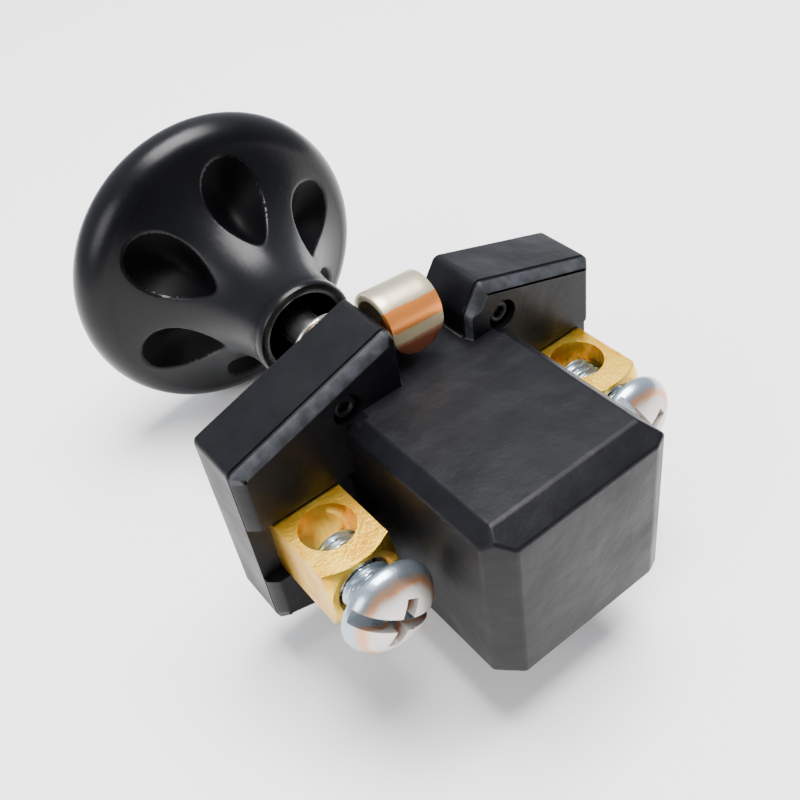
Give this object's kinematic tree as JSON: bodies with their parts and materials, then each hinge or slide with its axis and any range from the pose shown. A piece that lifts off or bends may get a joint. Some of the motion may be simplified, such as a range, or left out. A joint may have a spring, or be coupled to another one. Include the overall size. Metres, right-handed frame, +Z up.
{
  "type": "push-pull switch",
  "caption": "Push-pull switch with a fluted trumpet knob, a threaded panel bush, a black moulded contact housing and two brass screw terminals.",
  "frame": {"origin": "on the spindle's axis, in the plane where the strap's round seat bears on the panel", "axes": "+X towards the terminal called left, +Y rearwards along the spindle from the panel to the contact housing (the knob is at -Y), +Z up across the strap's tongues"},
  "size_m": [0.04, 0.0653, 0.0356],
  "materials": {
    "moulded_phenolic": "satin black phenolic moulding",
    "knob_phenolic": "glossy black phenolic",
    "laminate": "phenolic paper laminate",
    "plated_strap": "worn nickel over copper",
    "nickel_bush": "nickel plate",
    "steel": "plain",
    "copper": "copper alloy",
    "brass": "aged, machined",
    "zinc_screw": "zinc plate with spots of rust",
    "blackened_rivet": "blackened"
  },
  "bodies": {
    "housing": {"body_moulding": "moulded_phenolic", "insulating_plate": "laminate", "cover_rivet_upper_left": "blackened_rivet", "cover_rivet_lower_left": "blackened_rivet", "cover_rivet_upper_right": "blackened_rivet", "cover_rivet_lower_right": "blackened_rivet", "mount_strap": "plated_strap", "threaded_bush": "nickel_bush", "fixed_contact_left": "copper", "fixed_contact_right": "copper", "terminal_block_left": "brass", "terminal_block_right": "brass"},
    "plunger": {"spindle": "steel", "stop_clip": "steel", "blade_carrier": "laminate", "contact_bridge": "copper", "bridge_insulator": "laminate", "bridge_washer": "steel", "bridge_nut": "steel", "knob": "knob_phenolic", "knob_insert": "brass"},
    "left_screw": {"clamp_screw_left": "zinc_screw"},
    "right_screw": {"clamp_screw_right": "zinc_screw"}
  },
  "joints": [
    {"name": "knob_push", "type": "slide", "parent": "housing", "child": "plunger", "axis": [0, 1, 0], "range_m": [0, 0.008]},
    {"name": "left_screw_drive", "type": "slide", "parent": "housing", "child": "left_screw", "axis": [0, -1, 0], "range_m": [-0.0024, 0.0022]},
    {"name": "right_screw_drive", "type": "slide", "parent": "housing", "child": "right_screw", "axis": [0, -1, 0], "range_m": [-0.0034, 0.0012]}
  ]
}
